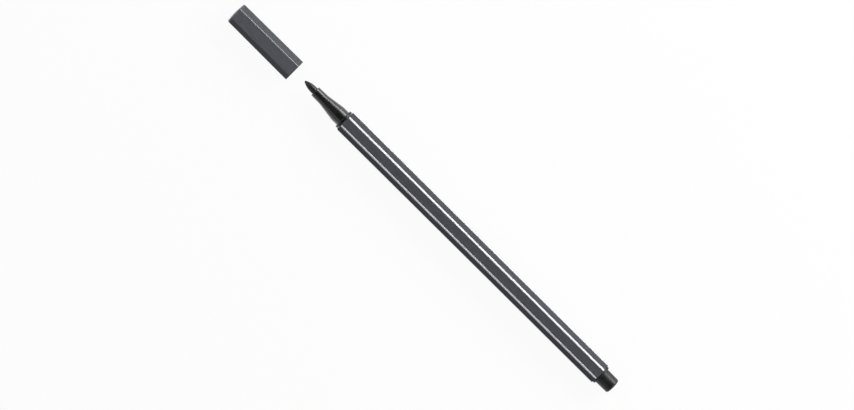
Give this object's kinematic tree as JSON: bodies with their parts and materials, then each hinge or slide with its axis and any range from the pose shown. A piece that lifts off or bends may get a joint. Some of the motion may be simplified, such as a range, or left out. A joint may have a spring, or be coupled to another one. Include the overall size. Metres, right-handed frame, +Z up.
{
  "type": "felt-tip pen",
  "caption": "Felt-tip pen with a hexagonal barrel, a black tapered nose, a bullet fibre nib and a pull-off hexagonal cap that slides home over the nose.",
  "frame": {"origin": "centre of the barrel's lower flat, halfway along the barrel", "axes": "X along the pen with the nib and the cap towards -X, Z up, out of the barrel's upper flat"},
  "size_m": [0.1918, 0.0088, 0.0077],
  "materials": {
    "barrel_plastic": "satin",
    "nose_plastic": "satin",
    "nib_fibre": "matte",
    "core_fibre": "matte",
    "clear_film": "gloss",
    "plug_plastic": "satin",
    "cap_plastic": "satin",
    "seal_plastic": "satin"
  },
  "bodies": {
    "pen": {"barrel": "barrel_plastic", "front_section": "nose_plastic", "fibre_nib": "nib_fibre", "ink_reservoir": "core_fibre", "reservoir_film": "clear_film", "rear_plug": "plug_plastic"},
    "cap": {"cap_shell": "cap_plastic", "cap_inner_seal": "seal_plastic"}
  },
  "joints": [
    {"name": "cap_slide", "type": "slide", "parent": "pen", "child": "cap", "axis": [1, 0, 0], "range_m": [0, 0.0241]}
  ]
}
